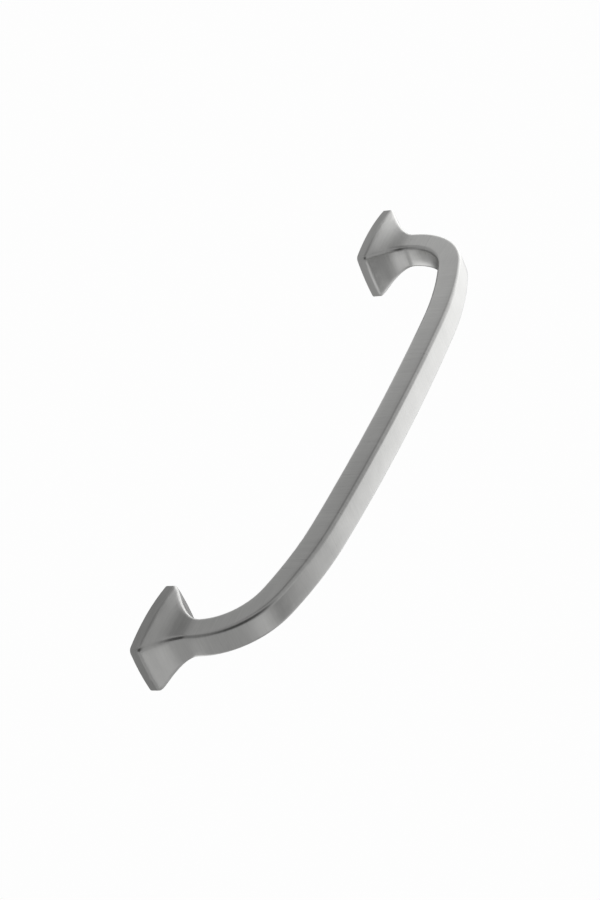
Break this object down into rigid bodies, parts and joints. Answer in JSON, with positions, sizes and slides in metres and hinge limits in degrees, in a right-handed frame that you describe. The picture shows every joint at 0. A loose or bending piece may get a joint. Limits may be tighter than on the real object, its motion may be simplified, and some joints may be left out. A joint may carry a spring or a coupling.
{
  "type": "cabinet pull handle",
  "caption": "Bowed cabinet pull in satin metal: a soft-edged square bar that flares into rectangular feet, screwed to a door or drawer front from behind.",
  "frame": {"origin": "midway between the two screw holes, on the plane of the feet's backs", "axes": "+X along the pull from one foot to the other, +Y across it, +Z away from the door"},
  "size_m": [0.1476, 0.0132, 0.0304],
  "materials": {
    "satin_nickel": "satin"
  },
  "bodies": {
    "root": {"pull_handle": "satin_nickel"}
  },
  "joints": []
}
